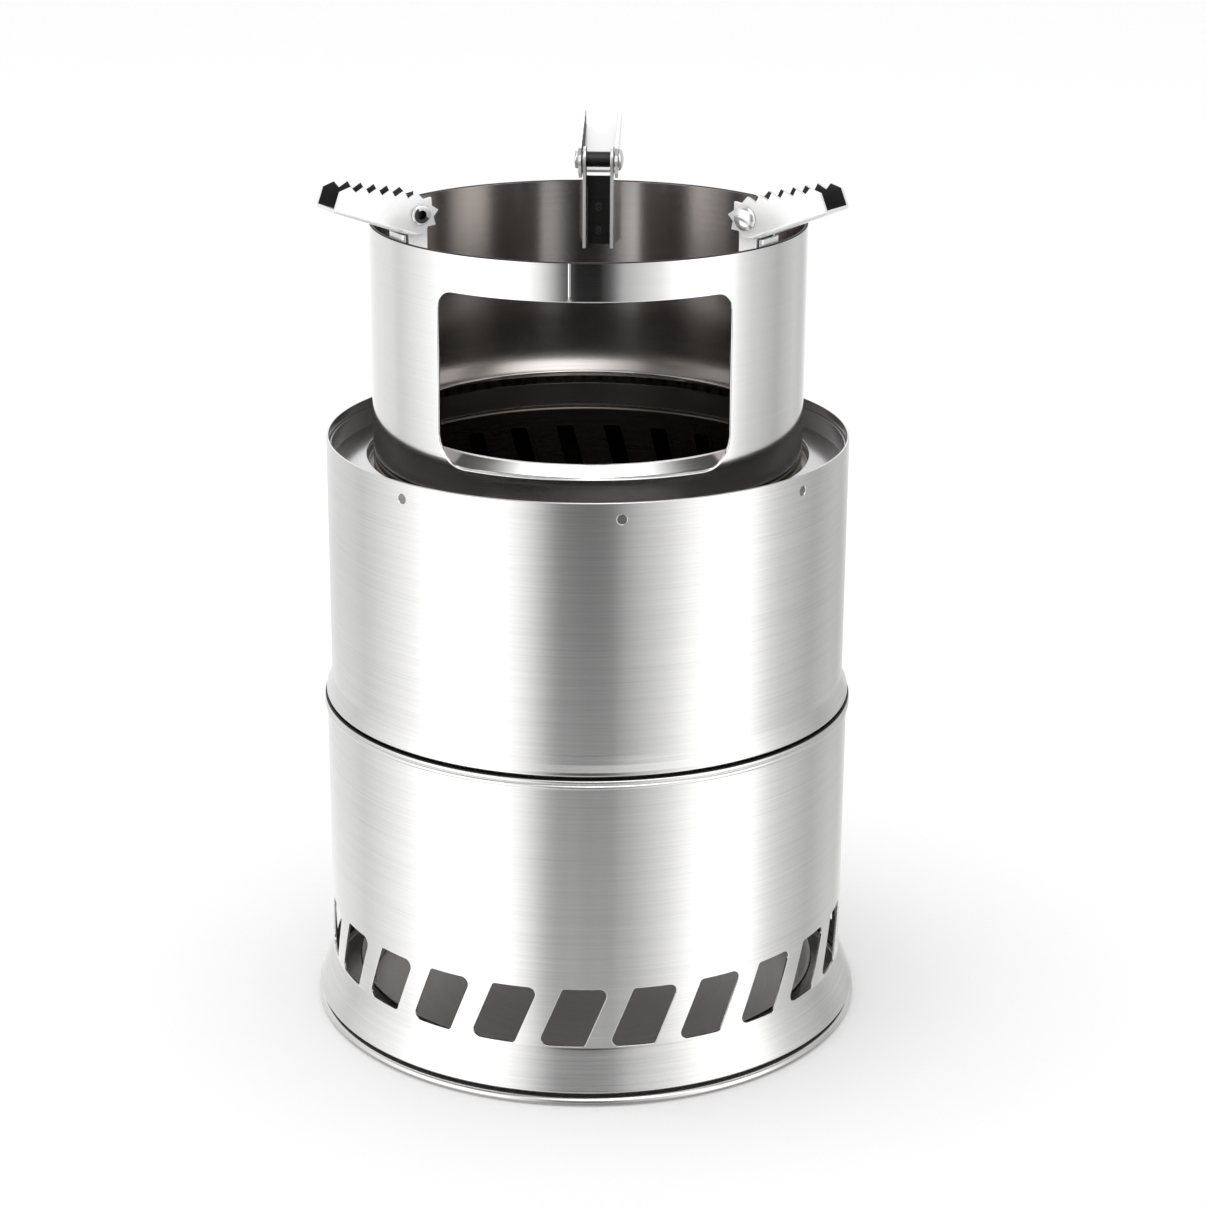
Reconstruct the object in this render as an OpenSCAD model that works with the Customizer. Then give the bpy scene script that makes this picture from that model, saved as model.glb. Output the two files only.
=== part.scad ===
// Portable wood-burning camp stove in stainless sheet: a vented stand, a double-wall
// burner that lifts off it, and a top ring with a feed window and three folding pot arms.
// Millimetres. Z is the stove's axis and Z = 0 is the ground. The feed window faces -Y.
// An azimuth is measured from -Y, positive towards +X.

/* [Sheet] */
// Thickness of the shells, the pan and the tray
sheet_t = 0.6; // [0.5:0.1:0.7]
// Thickness of the top ring's wall
ring_t = 0.8; // [0.7:0.1:0.9]
// Thickness of the fire pot's wall
pot_t = 0.5; // [0.4:0.1:0.6]
// Thickness of the arms and their brackets
arm_t = 0.8; // [0.7:0.1:0.9]

/* [Stand] */
// Outer radius of the rolled rim that the stove stands on
base_r = 67.5; // [67.3:0.1:68.5]
// Outer radius of the stand's wall
stand_r = 63.5; // [63.4:0.1:64]
// Height of the stand's top edge
stand_h = 80.2; // [79.8:0.1:80.2]
// Height at which the wall flares out towards the base
flare_z = 12.9; // [11.5:0.1:13]
// Number of air vents round the stand
vent_count = 24; // [20:1:26]
// Width of a vent
vent_w = 11; // [8:0.5:12]
// Height of a vent's lower edge above the ground
vent_z = 13.5; // [13.4:0.1:16]
// Height of a vent
vent_h = 14.5; // [8:0.5:20]
// How far a vent's top edge is shifted sideways from its lower edge
vent_lean = 5.9; // [0:0.1:8]
// Azimuth of the middle of one vent
vent_phase = -2.6; // [-7:0.1:7]

/* [Burner] */
// Outer radius of the burner's wall
burner_r = 62.2; // [61.9:0.1:62.3]
// Height of the burner's top edge above the ground
burner_top = 144.6; // [143.5:0.1:150]
// Depth of the spigot that sits inside the stand
spigot_depth = 7.5; // [4:0.5:20]
// Height of the top plate's outer edge above the ground
shelf_z = 138; // [136:0.5:139]
// Rise of the top plate from its outer edge to its hole
shelf_rise = 1.8; // [1:0.1:2.5]
// Radius of the hole in the top plate
shelf_hole_r = 52.6; // [52.2:0.1:53]

/* [Fire pot] */
// Inner radius of the fire pot
pot_r = 50; // [49.8:0.1:50.2]
// Height of the fire pot's underside above the ground
pot_bottom = 84; // [82:0.5:95]
// Number of air slots round the fire pot
slot_count = 26; // [20:1:30]
// Width of an air slot
slot_w = 4.4; // [3:0.1:5]
// Height of an air slot
slot_h = 14; // [8:0.5:16]
// Height of the air slots' top edge above the ground
slot_top = 132.4; // [128:0.1:133]
// How far a slot's top edge is shifted sideways from its lower edge
slot_lean = 3.7; // [0:0.1:5]
// Radius of the loose fire grate
grate_r = 49; // [48:0.1:49.2]

/* [Ash tray] */
// Outer radius of the ash tray's rim
tray_r = 57; // [50:0.5:58]
// Height of the ash tray
tray_h = 8; // [5:0.5:9]

/* [Top ring] */
// Outer radius of the top ring
ring_r = 51.1; // [50.8:0.1:51.5]
// Height of the ring's top edge above the ground
ring_top = 195.5; // [193:0.5:196]
// Azimuth of the window's left side
window_left = -41; // [-42:0.5:-35]
// Azimuth of the window's right side
window_right = 38.7; // [33:0.1:40]
// Height of the window's lower edge above the ground
window_bottom = 146.8; // [146.6:0.1:150]
// Height of the window's upper edge above the ground
window_top = 186.6; // [175:0.1:188]
// Radius of the window's lower corners
window_low_r = 7; // [4:0.5:8]
// Radius of the window's upper corners
window_high_r = 4; // [2:0.5:6]
// Radius of the hole in the ring's inner flange
flange_hole_r = 43.6; // [40:0.1:45]

/* [Pot arms] */
// Azimuth of the left arm
left_azimuth = -60; // [-64:0.5:-58]
// Azimuth of the right arm
right_azimuth = 54.5; // [54:0.5:62]
// Azimuth of the back arm
back_azimuth = 177; // [174:0.5:186]
// Distance of an arm's pivot from the stove's axis
pivot_r = 46.2; // [46:0.1:46.3]
// Height of an arm's pivot above the ground
pivot_z = 201.4; // [201.2:0.1:202]
// Angle above level of an arm's underside when it lies on its stop
arm_tilt = 20; // [18:0.5:22]
// Angle that the right arm stands above its stop
right_raise = 3; // [0:1:10]
// Angle that the back arm stands above its stop
back_raise = 7; // [0:1:10]
// Reach of an arm beyond its pivot
arm_reach = 20.6; // [20:0.1:24]
// Overall width of an arm
arm_w = 9.8; // [9.8:0.1:10.4]
// Distance from one arm tooth to the next
tooth_pitch = 3.22; // [3:0.01:3.3]
// Depth of the notches between the teeth
tooth_depth = 1.6; // [0.8:0.1:1.8]

/* [Hidden] */

$fn = 96;
arc_steps = 4;          // straight steps in the arc of a rounded corner
contact_gap = 0.3;      // space left between loose pieces that rest on each other
weld_gap = 0.05;        // space left between pieces that are welded together

// Stand
rim_bead_r = 1.03;      // radius of the rolled rim's section
pan_t = 0.8;
neck_r = 65.9;          // outer radius of the wall's neck above the rim
hem_r = base_r - 0.2;
hem_z = 3.6;
hem_bead_r = 0.62;      // radius of each of the two beads round the stand's top edge
vent_acute_r = 1.7;
vent_obtuse_r = 0.8;

// Burner
seat_z = stand_h + contact_gap;
bead_r = burner_r + 1.5;
bead_flare = 4.9;       // height over which the wall flares out to the resting bead
spot_r = 1.1;
spot_z = shelf_z + 2.8;
spot_azimuths = [-42, 7, 51.5, 96, 140, 184.5, 229, 273.5];
collar_h = 5;           // height of the top plate's outer collar
shelf_r = burner_r - sheet_t - weld_gap;

// Fire pot
ring_bottom = 137.7;    // height of the top ring's lower edge
ledge_z = ring_bottom - contact_gap;
pot_flange_r = 57;
pot_ledge_r = 45.5;
slot_corner_r = 0.6;
grate_z = pot_bottom + pot_t + contact_gap;
grate_t = 0.8;
grate_rim_h = 2.4;
grate_slot_w = 4;

// Top ring
flange_z = 148.3;
flange_collar_bottom = 143.5;
flange_r = ring_r - ring_t - weld_gap;

// Pot arms, in each arm's own frame: u runs out along the arm and w up, from the pivot
web_w = -5.2;           // underside of the arm
web_start = 1.5;        // inner end of the arm's underside web
bend_r = 1;             // outside radius of the folds in arms and brackets
notch_start = [3.9, 2.5];
notch_slope = -0.163;   // fall of the toothed edge towards the tip
notch_count = 5;
tip_top = -0.4;         // height of the tip's blunt edge above the pivot
root_tooth_r = 4.6;
root_notch_r = 3.4;
root_first = 64;        // angle of the first root tooth
root_pitch = 43.5;
root_teeth = 4;
bracket_w = arm_w - 2 * arm_t - 0.6;
bracket_back = sqrt(pow(ring_r - ring_t, 2) - pow(bracket_w / 2, 2)) - weld_gap;
bracket_bottom = 179.5;
ear_inner = 44;
ear_outer = pivot_r + 2.5;
ear_eye_r = 3.2;
relief_bottom = 194;
stop_gap = 0.2;
stop_r = bracket_back - arm_t;
stop_z = pivot_z + web_w / cos(arm_tilt) + (stop_r - pivot_r) * tan(arm_tilt) - stop_gap;
bracket_spot_z = [183, 189];
bracket_spot_r = 1;
pin_r = 1.9;
pin_fit = 0.05;         // radial clearance of the pin in the bracket
pin_run = 0.07;         // radial clearance of the pin in the arm
head_gap = 0.15;
head_r = 2.8;
head_h = 1.2;
rolled_r = 2.3;
rolled_h = 0.8;
rolled_hole_r = 1;

// ---- Outlines ----

function unit(v) = v / norm(v);
function reversed(list) = [for (i = [len(list) - 1:-1:0]) list[i]];

// Points on an arc from angle a0 to a1
function arc(c, r, a0, a1, steps) =
    [for (i = [0:steps]) c + r * [cos(a0 + (a1 - a0) * i / steps), sin(a0 + (a1 - a0) * i / steps)]];

// The arc that rounds the corner p1 between p0 and p2
function corner(p0, p1, p2, r) =
    let (a = unit(p0 - p1),
         b = unit(p2 - p1),
         half = acos(a * b) / 2,
         c = p1 + unit(a + b) * r / sin(half),
         s = p1 + a * r / tan(half) - c,
         e = p1 + b * r / tan(half) - c,
         a0 = atan2(s.y, s.x),
         sweep = (atan2(e.y, e.x) - a0 + 540) % 360 - 180)
    arc(c, r, a0, a0 + sweep, arc_steps);

// A closed outline with its corners rounded, a radius of 0 leaving a corner sharp
function rounded(pts, radii) =
    let (n = len(pts))
    [for (i = [0:n - 1])
        each radii[i] == 0 ? [pts[i]] : corner(pts[(i + n - 1) % n], pts[i], pts[(i + 1) % n], radii[i])];

// An upright slot that leans towards +x, centred on the origin
function leaning_slot(w, h, lean, acute_r, obtuse_r) =
    rounded([[-w / 2 - lean / 2, -h / 2], [w / 2 - lean / 2, -h / 2],
             [w / 2 + lean / 2, h / 2], [-w / 2 + lean / 2, h / 2]],
            [acute_r, obtuse_r, acute_r, obtuse_r]);

// The right-hand normal of a step, and the mitred normal at point i of a path
function normal(a, b) = unit([b.y - a.y, a.x - b.x]);
function mitre(path, i) =
    let (last = len(path) - 1,
         n1 = normal(path[max(i, 1) - 1], path[max(i, 1)]),
         n2 = normal(path[min(i, last - 1)], path[min(i, last - 1) + 1]))
    (n1 + n2) / (1 + n1 * n2);

// The other face of a sheet of thickness t whose one face is a path: on the path's left,
// or on its right where t is negative. sheet() is the outline between the two faces.
function other_face(path, t) = [for (i = [0:len(path) - 1]) path[i] - t * mitre(path, i)];
function sheet(path, t) = concat(path, reversed(other_face(path, t)));

// ---- Placing ----

module spun(path, t) {
    rotate_extrude() polygon(sheet(path, t));
}

// A cutter for an outline in x and z, pointing out from radius r0 to r1 at an azimuth
module radial_cut(azimuth, r0, r1, z) {
    rotate([0, 0, azimuth]) translate([0, -r0, z]) rotate([90, 0, 0]) linear_extrude(r1 - r0) children();
}

// An outline in radius and height, drawn w wide across the azimuth it is turned to
module across(w) {
    rotate([90, 0, -90]) linear_extrude(w, center = true) children();
}

module at_azimuth(a) {
    rotate([0, 0, a]) children();
}

module arm_frame(raise) {
    translate([0, -pivot_r, pivot_z]) rotate([-arm_tilt - raise, 0, 0]) children();
}

module pivot_bore(r) {
    translate([0, -pivot_r, pivot_z]) rotate([0, 90, 0]) cylinder(r = r, h = 2 * arm_w, center = true);
}

// ---- Stand ----

module base_pan() {
    color("silver") union() {
        cylinder(r = base_r - rim_bead_r, h = pan_t);
        rotate_extrude() translate([base_r - rim_bead_r, rim_bead_r]) circle(r = rim_bead_r);
    }
}

// One bead of the stand's top edge, in radius and height
function hem_bead(z) = arc([stand_r, z], hem_bead_r, -60, 60, 6);

module lower_shell() {
    foot_path = [[neck_r, 2 * rim_bead_r + weld_gap], [neck_r, hem_z - 1.1], [hem_r - 0.7, hem_z - 0.7],
                 [hem_r, hem_z], [stand_r + 0.35, flare_z - 0.9], [stand_r + 0.08, flare_z - 0.2],
                 [stand_r, flare_z + 0.2], [stand_r, stand_h - 4 * hem_bead_r]];
    top_edge = concat(hem_bead(stand_h - 3 * hem_bead_r), hem_bead(stand_h - hem_bead_r),
                      [[stand_r - 0.1, stand_h], [stand_r - sheet_t, stand_h]]);
    color("silver") difference() {
        rotate_extrude() polygon(concat(foot_path, top_edge, reversed(other_face(foot_path, sheet_t))));
        for (k = [0:vent_count - 1]) {
            radial_cut(vent_phase + k * 360 / vent_count, stand_r - 4, stand_r + 4, vent_z + vent_h / 2)
                polygon(leaning_slot(vent_w, vent_h, vent_lean, vent_acute_r, vent_obtuse_r));
        }
    }
}

module ash_tray() {
    floor_z = pan_t + contact_gap;
    tray_path = [[0, floor_z], [tray_r - 3.2, floor_z], [tray_r - 2.4, floor_z + 0.8],
                 [tray_r - 0.9, floor_z + tray_h - 0.6], [tray_r, floor_z + tray_h]];
    color("darkgray") spun(tray_path, sheet_t);
}

// ---- Burner ----

module upper_shell() {
    wall_path = [[burner_r, stand_h - spigot_depth], [burner_r, seat_z], [bead_r - 0.5, seat_z],
                 [bead_r, seat_z + 0.5], [bead_r - 0.1, seat_z + 1.3],
                 [burner_r + 0.7, seat_z + 0.6 * bead_flare], [burner_r, seat_z + bead_flare],
                 [burner_r, burner_top]];
    color("silver") difference() {
        spun(wall_path, sheet_t);
        for (a = spot_azimuths) {
            radial_cut(a, burner_r - 2, burner_r + 2, spot_z) circle(r = spot_r, $fn = 32);
        }
    }
}

module top_plate() {
    low = shelf_z - sheet_t;
    plate_path = [[shelf_r, low + collar_h], [shelf_r, low + 0.4], [shelf_r - 0.5, low],
                  [shelf_hole_r, low + shelf_rise]];
    color("gainsboro") spun(plate_path, -sheet_t);
}

module fire_pot() {
    pot_out = pot_r + pot_t;
    collar_r = shelf_hole_r + pot_t;
    shelf_fall = shelf_rise / (shelf_r - 0.5 - shelf_hole_r);
    flange_low = shelf_z - sheet_t + shelf_rise - pot_t - weld_gap;
    pot_path = [[pot_flange_r, flange_low - shelf_fall * (pot_flange_r - shelf_hole_r)],
                [collar_r, flange_low - shelf_fall * pot_t],
                [collar_r, ledge_z - pot_t], [pot_out, ledge_z - pot_t],
                [pot_out, pot_bottom], [pot_ledge_r, pot_bottom]];
    color("dimgray") difference() {
        spun(pot_path, -pot_t);
        for (k = [0:slot_count - 1]) {
            radial_cut((k + 0.5) * 360 / slot_count - slot_lean / 2 / pot_r * 180 / PI,
                       pot_r - 2, pot_r + 2, slot_top - slot_h / 2)
                polygon(leaning_slot(slot_w, slot_h, slot_lean, slot_corner_r, slot_corner_r));
        }
    }
}

module shell_weld_spots() {
    color("gray") for (a = spot_azimuths) {
        radial_cut(a, shelf_r + weld_gap, burner_r - 0.1, spot_z) circle(r = spot_r - 0.02, $fn = 32);
    }
}

// A radial slot in the grate, from radius r0 to r1, with round ends
module grate_slot(azimuth, r0, r1) {
    half = grate_slot_w / 2;
    at_azimuth(azimuth) translate([0, 0, grate_z - 1]) linear_extrude(grate_t + 2)
        polygon(concat(arc([0, -r0 - half], half, 0, 180, 2 * arc_steps),
                       arc([0, -r1 + half], half, 180, 360, 2 * arc_steps)));
}

module fire_grate() {
    color("dimgray") difference() {
        union() {
            translate([0, 0, grate_z]) cylinder(r = grate_r, h = grate_t);
            translate([0, 0, grate_z]) difference() {
                cylinder(r = grate_r, h = grate_rim_h);
                translate([0, 0, -1]) cylinder(r = grate_r - grate_t, h = grate_rim_h + 2);
            }
        }
        for (k = [0:17]) {
            grate_slot(k * 20, 28, 45);
        }
        for (k = [0:8]) {
            grate_slot(k * 40 + 10, 10, 24);
        }
        translate([0, 0, grate_z - 1]) cylinder(r = 5, h = grate_t + 2);
    }
}

// ---- Top ring ----

// One side of the feed window, rounded at its outer corners. side is -1 at the left.
module window_side(azimuth, side) {
    width = 12;
    half = asin(width / 2 / ring_r);
    outline = rounded([[side * width / 2, window_bottom], [side * width / 2, window_top],
                       [-side * (width / 2 + 1), window_top], [-side * (width / 2 + 1), window_bottom]],
                      [window_low_r, window_high_r, 0, 0]);
    radial_cut(azimuth - side * half, ring_r - 4, ring_r + 4, 0) polygon(outline);
}

module window_cut() {
    inset = asin(6 / ring_r);
    sweep = window_right - window_left - 2 * inset;
    window_side(window_left, -1);
    window_side(window_right, 1);
    rotate([0, 0, window_left + inset - 90]) rotate_extrude(angle = sweep)
        translate([ring_r - 4, window_bottom]) square([8, window_top - window_bottom]);
}

module top_ring() {
    color("silver") difference() {
        translate([0, 0, ring_bottom]) cylinder(r = ring_r, h = ring_top - ring_bottom);
        cylinder(r = ring_r - ring_t, h = 2 * ring_top);
        window_cut();
    }
}

module ring_flange() {
    flange_path = [[flange_r, flange_collar_bottom], [flange_r, window_bottom - 0.9],
                   [flange_r - 0.8, window_bottom - 0.1], [flange_hole_r + 1, flange_z - 0.1],
                   [flange_hole_r, flange_z]];
    color("gainsboro") spun(flange_path, sheet_t);
}

// ---- Brackets ----

// The bracket's channel in plan: x across and y = -radius
module bracket_plan() {
    half = bracket_w / 2;
    difference() {
        polygon(rounded([[-half, -bracket_back], [half, -bracket_back], [half, -ear_inner + 5], [-half, -ear_inner + 5]],
                        [bend_r, bend_r, 0, 0]));
        translate([-half + arm_t, -bracket_back + arm_t]) square([bracket_w - 2 * arm_t, 20]);
    }
}

// The bracket's ears from the side: x = radius and y = height
module bracket_side() {
    translate([ear_inner, bracket_bottom]) square([bracket_back - ear_inner, relief_bottom - bracket_bottom]);
    translate([ear_inner, bracket_bottom]) square([ear_outer - ear_inner, pivot_z - bracket_bottom]);
    translate([stop_r, bracket_bottom]) square([arm_t, stop_z - bracket_bottom]);
    translate([pivot_r, pivot_z]) circle(r = ear_eye_r, $fn = 48);
}

module bracket(azimuth) {
    color("gainsboro") at_azimuth(azimuth) difference() {
        intersection() {
            translate([0, 0, bracket_bottom]) linear_extrude(40) bracket_plan();
            across(bracket_w) bracket_side();
        }
        pivot_bore(pin_r + pin_fit);
        for (z = bracket_spot_z) {
            radial_cut(0, stop_r - 1, bracket_back + 1, z) circle(r = bracket_spot_r, $fn = 32);
        }
    }
}

module bracket_weld_spots() {
    color("gray") for (a = [left_azimuth, right_azimuth, back_azimuth]) {
        for (z = bracket_spot_z) {
            radial_cut(a, stop_r - 0.1, bracket_back + weld_gap, z) circle(r = bracket_spot_r - 0.02, $fn = 32);
        }
    }
}

// ---- Pivot pins ----

// A tubular rivet along x: a domed head at -x and a rolled end at +x
module pivot(azimuth) {
    face = arm_w / 2 + head_gap;
    dome = [for (i = [0:6]) [head_r * sin(i * 15), -face - head_h * cos(i * 15)]];
    rolled = arc([rolled_r - 0.4, face + rolled_h - 0.4], 0.4, 0, 90, 3);
    outline = concat(dome, [[pin_r, -face], [pin_r, face], [rolled_r, face]], rolled,
                     [[rolled_hole_r, face + rolled_h], [rolled_hole_r, face - 1], [0, face - 1]]);
    color("lightgray") at_azimuth(azimuth) translate([0, -pivot_r, pivot_z]) rotate([0, 90, 0])
        rotate_extrude($fn = 48) polygon(outline);
}

// ---- Arms ----

function notch(k) = notch_start + k * tooth_pitch * [1, notch_slope];
function tooth(k) = notch(k - 0.5) + [0, tooth_depth];
function polar(r, a) = r * [cos(a), sin(a)];

// The arm's side in its own frame: underside, tip, toothed edge and toothed root
function arm_outline() = concat(
    [[web_start - 2.5, web_w + 0.9], [web_start - 0.6, web_w], [arm_reach, web_w], [arm_reach, tip_top],
     tooth(notch_count) - [0, 0.4]],
    [for (k = [notch_count - 1:-1:0]) each [notch(k), tooth(k)]],
    [for (k = [0:root_teeth - 1]) each [polar(root_notch_r, root_first + (k + 0.5) * root_pitch),
                                        polar(root_tooth_r, root_first + (k + 1) * root_pitch)]]);

module arm(azimuth, raise) {
    inner = arm_w - 2 * arm_t;
    half = arm_w / 2;
    color("gainsboro") at_azimuth(azimuth) difference() {
        arm_frame(raise) difference() {
            intersection() {
                across(arm_w) polygon(arm_outline());
                translate([0, 10, 0]) rotate([90, 0, 0]) linear_extrude(arm_reach + 20)
                    polygon(rounded([[-half, web_w], [half, web_w], [half, 10], [-half, 10]],
                                    [bend_r, bend_r, 0, 0]));
            }
            across(inner) polygon([[-10, -10], [web_start, -10], [web_start, web_w + arm_t],
                                   [arm_reach + 1, web_w + arm_t], [arm_reach + 1, 10], [-10, 10]]);
        }
        pivot_bore(pin_r + pin_run);
    }
}

module bracket_left() { bracket(left_azimuth); }
module bracket_right() { bracket(right_azimuth); }
module bracket_back() { bracket(back_azimuth); }
module pivot_left() { pivot(left_azimuth); }
module pivot_right() { pivot(right_azimuth); }
module pivot_back() { pivot(back_azimuth); }
module arm_left() { arm(left_azimuth, 0); }
module arm_right() { arm(right_azimuth, right_raise); }
module arm_back() { arm(back_azimuth, back_raise); }

base_pan();
lower_shell();
ash_tray();
upper_shell();
top_plate();
fire_pot();
shell_weld_spots();
fire_grate();
top_ring();
ring_flange();
bracket_left();
bracket_right();
bracket_back();
bracket_weld_spots();
pivot_left();
pivot_right();
pivot_back();
arm_left();
arm_right();
arm_back();
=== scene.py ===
"""A portable stainless wood-burning camp stove: its visual model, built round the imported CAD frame.
Lengths are in millimetres until a mesh is made, and in metres for the camera, the studio and the
materials. An azimuth is measured from -Y towards +X, in degrees."""

import math

import bmesh
import bpy
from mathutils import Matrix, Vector, geometry


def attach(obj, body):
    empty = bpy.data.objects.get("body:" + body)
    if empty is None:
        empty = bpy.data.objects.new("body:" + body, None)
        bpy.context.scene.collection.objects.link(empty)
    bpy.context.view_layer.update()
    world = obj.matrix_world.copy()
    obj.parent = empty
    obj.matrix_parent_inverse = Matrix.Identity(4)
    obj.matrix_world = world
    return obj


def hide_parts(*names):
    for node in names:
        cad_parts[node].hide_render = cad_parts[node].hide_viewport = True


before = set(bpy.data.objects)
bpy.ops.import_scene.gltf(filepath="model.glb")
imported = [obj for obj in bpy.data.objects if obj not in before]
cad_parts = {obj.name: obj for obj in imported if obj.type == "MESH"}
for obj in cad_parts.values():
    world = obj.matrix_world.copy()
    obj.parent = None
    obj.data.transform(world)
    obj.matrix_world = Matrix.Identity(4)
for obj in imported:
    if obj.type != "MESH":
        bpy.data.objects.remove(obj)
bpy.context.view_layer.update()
scene = bpy.context.scene

MM = 0.001
ARC_STEP = 15           # most degrees between the points of a rounded corner
RIM_TURNS = (0, 30, 60, 90)
COLUMNS = 360           # columns round a turned sheet
INNER, SHADE_LINE = 1, 2      # material slots of faces that look inwards, mostly painted shade, and of floors and painted shade lines set apart
FLAT_ANGLE = 0.6        # most degrees between the faces of a CAD node that are taken as one
SHARP_ANGLE = 35        # least degrees between two faces whose edge is rounded

# Stand
SHEET_T = 0.6
BASE_R = 67.48
STAND_R = 63.5
STAND_H = 80.2
HEM_R = 67.3
HEM_BEAD = 0.62         # radius of each of the two beads at the stand's top edge
VENT_COUNT = 24
VENT_SIZE = (11, 14.5)
VENT_Z = 13.5
VENT_LEAN = 5.9
VENT_PHASE = -2.6

# Burner
BURNER_R = 62.2
BURNER_TOP = 144.6
SEAT_Z = 80.5
BURNER_SEAM = 171.3
SPOT_Z = 140.8
SPOT_R = 1.1
SPOT_AZIMUTHS = (-42, 7, 51.5, 96, 140, -175.5, -131, -86.5)
SHELF_Z = 138
SHELF_R = 61.55
SHELF_HOLE_R = 52.6

# Fire pot
POT_R = 50
POT_T = 0.5
POT_BOTTOM = 84
POT_LEDGE_R = 45.5
SLOT_COUNT = 26
SLOT_SIZE = (4.4, 14)
SLOT_TOP = 132.4
SLOT_LEAN = 3.7

# Top ring
RING_R = 51.1
RING_T = 0.8
RING_BOTTOM = 137.7
RING_TOP = 195.5
RING_SEAM = -4.6
FLANGE_LOW = 143.5
FLANGE_HOLE_R = 43.6
WINDOW_SIDES = (-41, 38.7)
WINDOW_LOW = 146.8
WINDOW_HIGH = 186.6

# Pot arms
ARM_AZIMUTHS = {"left": -60, "right": 54.5, "back": 177}
PIVOT_R = 46.2
PIVOT_Z = 201.4
PIVOT_BORE_R = 1.05
PIVOT_SHANK = 5.06      # half the length between a pivot's heads
WEB_HALF = 2.5          # half the width of a bracket's web between its cheeks

# Welded seams
SEAM_HALF_WIDTH = 0.34
SEAM_HEIGHT = 0.07


# ---- Camera ----

def make_camera():
    data = bpy.data.cameras.new("camera")
    data.sensor_width = 36
    data.lens = 85.67
    data.shift_x = 0.0104
    data.clip_start = 0.01
    camera = bpy.data.objects.new("camera", data)
    camera.location = (0, -0.6627, 0.3223)
    camera.rotation_euler = (math.radians(90 - 18.46), math.radians(-0.197), 0)
    scene.collection.objects.link(camera)
    scene.camera = camera


# ---- Node helpers ----

def ramp(tree, value, stops):
    """The output of a colour ramp over stops of (position, grey or colour), read at value."""
    node = tree.nodes.new("ShaderNodeValToRGB")
    elements = node.color_ramp.elements
    while len(elements) > 1:
        elements.remove(elements[-1])
    for i, (position, colour) in enumerate(stops):
        element = elements[0] if i == 0 else elements.new(position)
        element.position = position
        rgb = colour if isinstance(colour, tuple) else (colour, colour, colour)
        element.color = (*rgb, 1)
    tree.links.new(value, node.inputs[0])
    return node.outputs[0]


def feed(tree, sockets, values):
    """Gives each socket its number, its colour or the output that feeds it."""
    for socket, value in zip(sockets, values):
        if isinstance(value, (int, float)):
            socket.default_value = value
        elif isinstance(value, tuple):
            socket.default_value = (*value, 1)
        else:
            tree.links.new(value, socket)


def maths(tree, operation, *values):
    node = tree.nodes.new("ShaderNodeMath")
    node.operation = operation
    feed(tree, node.inputs, values)
    return node.outputs[0]


def mix(tree, factor, a, b, blend="MIX"):
    node = tree.nodes.new("ShaderNodeMix")
    node.data_type = "RGBA"
    node.blend_type = blend
    feed(tree, (node.inputs[0], node.inputs[6], node.inputs[7]), (factor, a, b))
    return node.outputs[2]


def split(tree, vector):
    node = tree.nodes.new("ShaderNodeSeparateXYZ")
    tree.links.new(vector, node.inputs[0])
    return node.outputs


def joined(tree, *values):
    node = tree.nodes.new("ShaderNodeCombineXYZ")
    feed(tree, node.inputs, values)
    return node.outputs[0]


# ---- Studio ----

# Brightness that the polished sheet mirrors, by azimuth of the mirrored ray
MIRRORED = [(-180, .92), (-165, .86), (-149, .75), (-125, .68), (-117, .6), (-108, .68), (-100, .77),
            (-92, .87), (-82, 1.02), (-74, 1.25), (-42, 1.35), (-34, 1.12), (-26, .82), (-18, .42),
            (-12, .21), (0, .15), (11, .18), (16, .36), (26, .55), (36, .74), (46, 1.05), (60, 1.3),
            (72, 1.3), (80, 1.02), (86, .76), (94, .6), (106, .49), (117, .41), (125, .47), (137, .54),
            (150, .51), (158, .6), (166, .76), (180, .88)]
# How much of that stays at an elevation, given by its sine: in the dark band ahead
AHEAD = [(-1, 3), (-.5, 3.9), (-.42, 3.1), (-.36, 1.6), (-.325, .88), (-.29, .6), (-.25, .2),
         (-.21, .01), (-.05, .01), (.2, 1), (.4, 1.8), (1, 2.5)]
# and everywhere else
AROUND = [(-1, .8), (-.6, 1.2), (-.42, 1.34), (-.36, 1.14), (-.31, 1), (-.28, 1), (-.25, 1.12),
          (.1, 1.12), (.5, 1.3)]
# What stays of it high up, where two gaps flank the lamp behind, by azimuth to either side
OVERHEAD = [(0, 1), (138, 1), (145, .06), (166, .06), (171, 1.4), (180, 1.4)]
# What stands high up ahead in its place, by azimuth
RISING = [(-110, .5), (-61, .15), (-45, .15), (-32, .7), (-20, 1.2), (-5, 1.9), (16, 2.4), (38, 2.2),
          (54, 1.5), (70, .2), (90, .3), (110, .45)]


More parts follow.
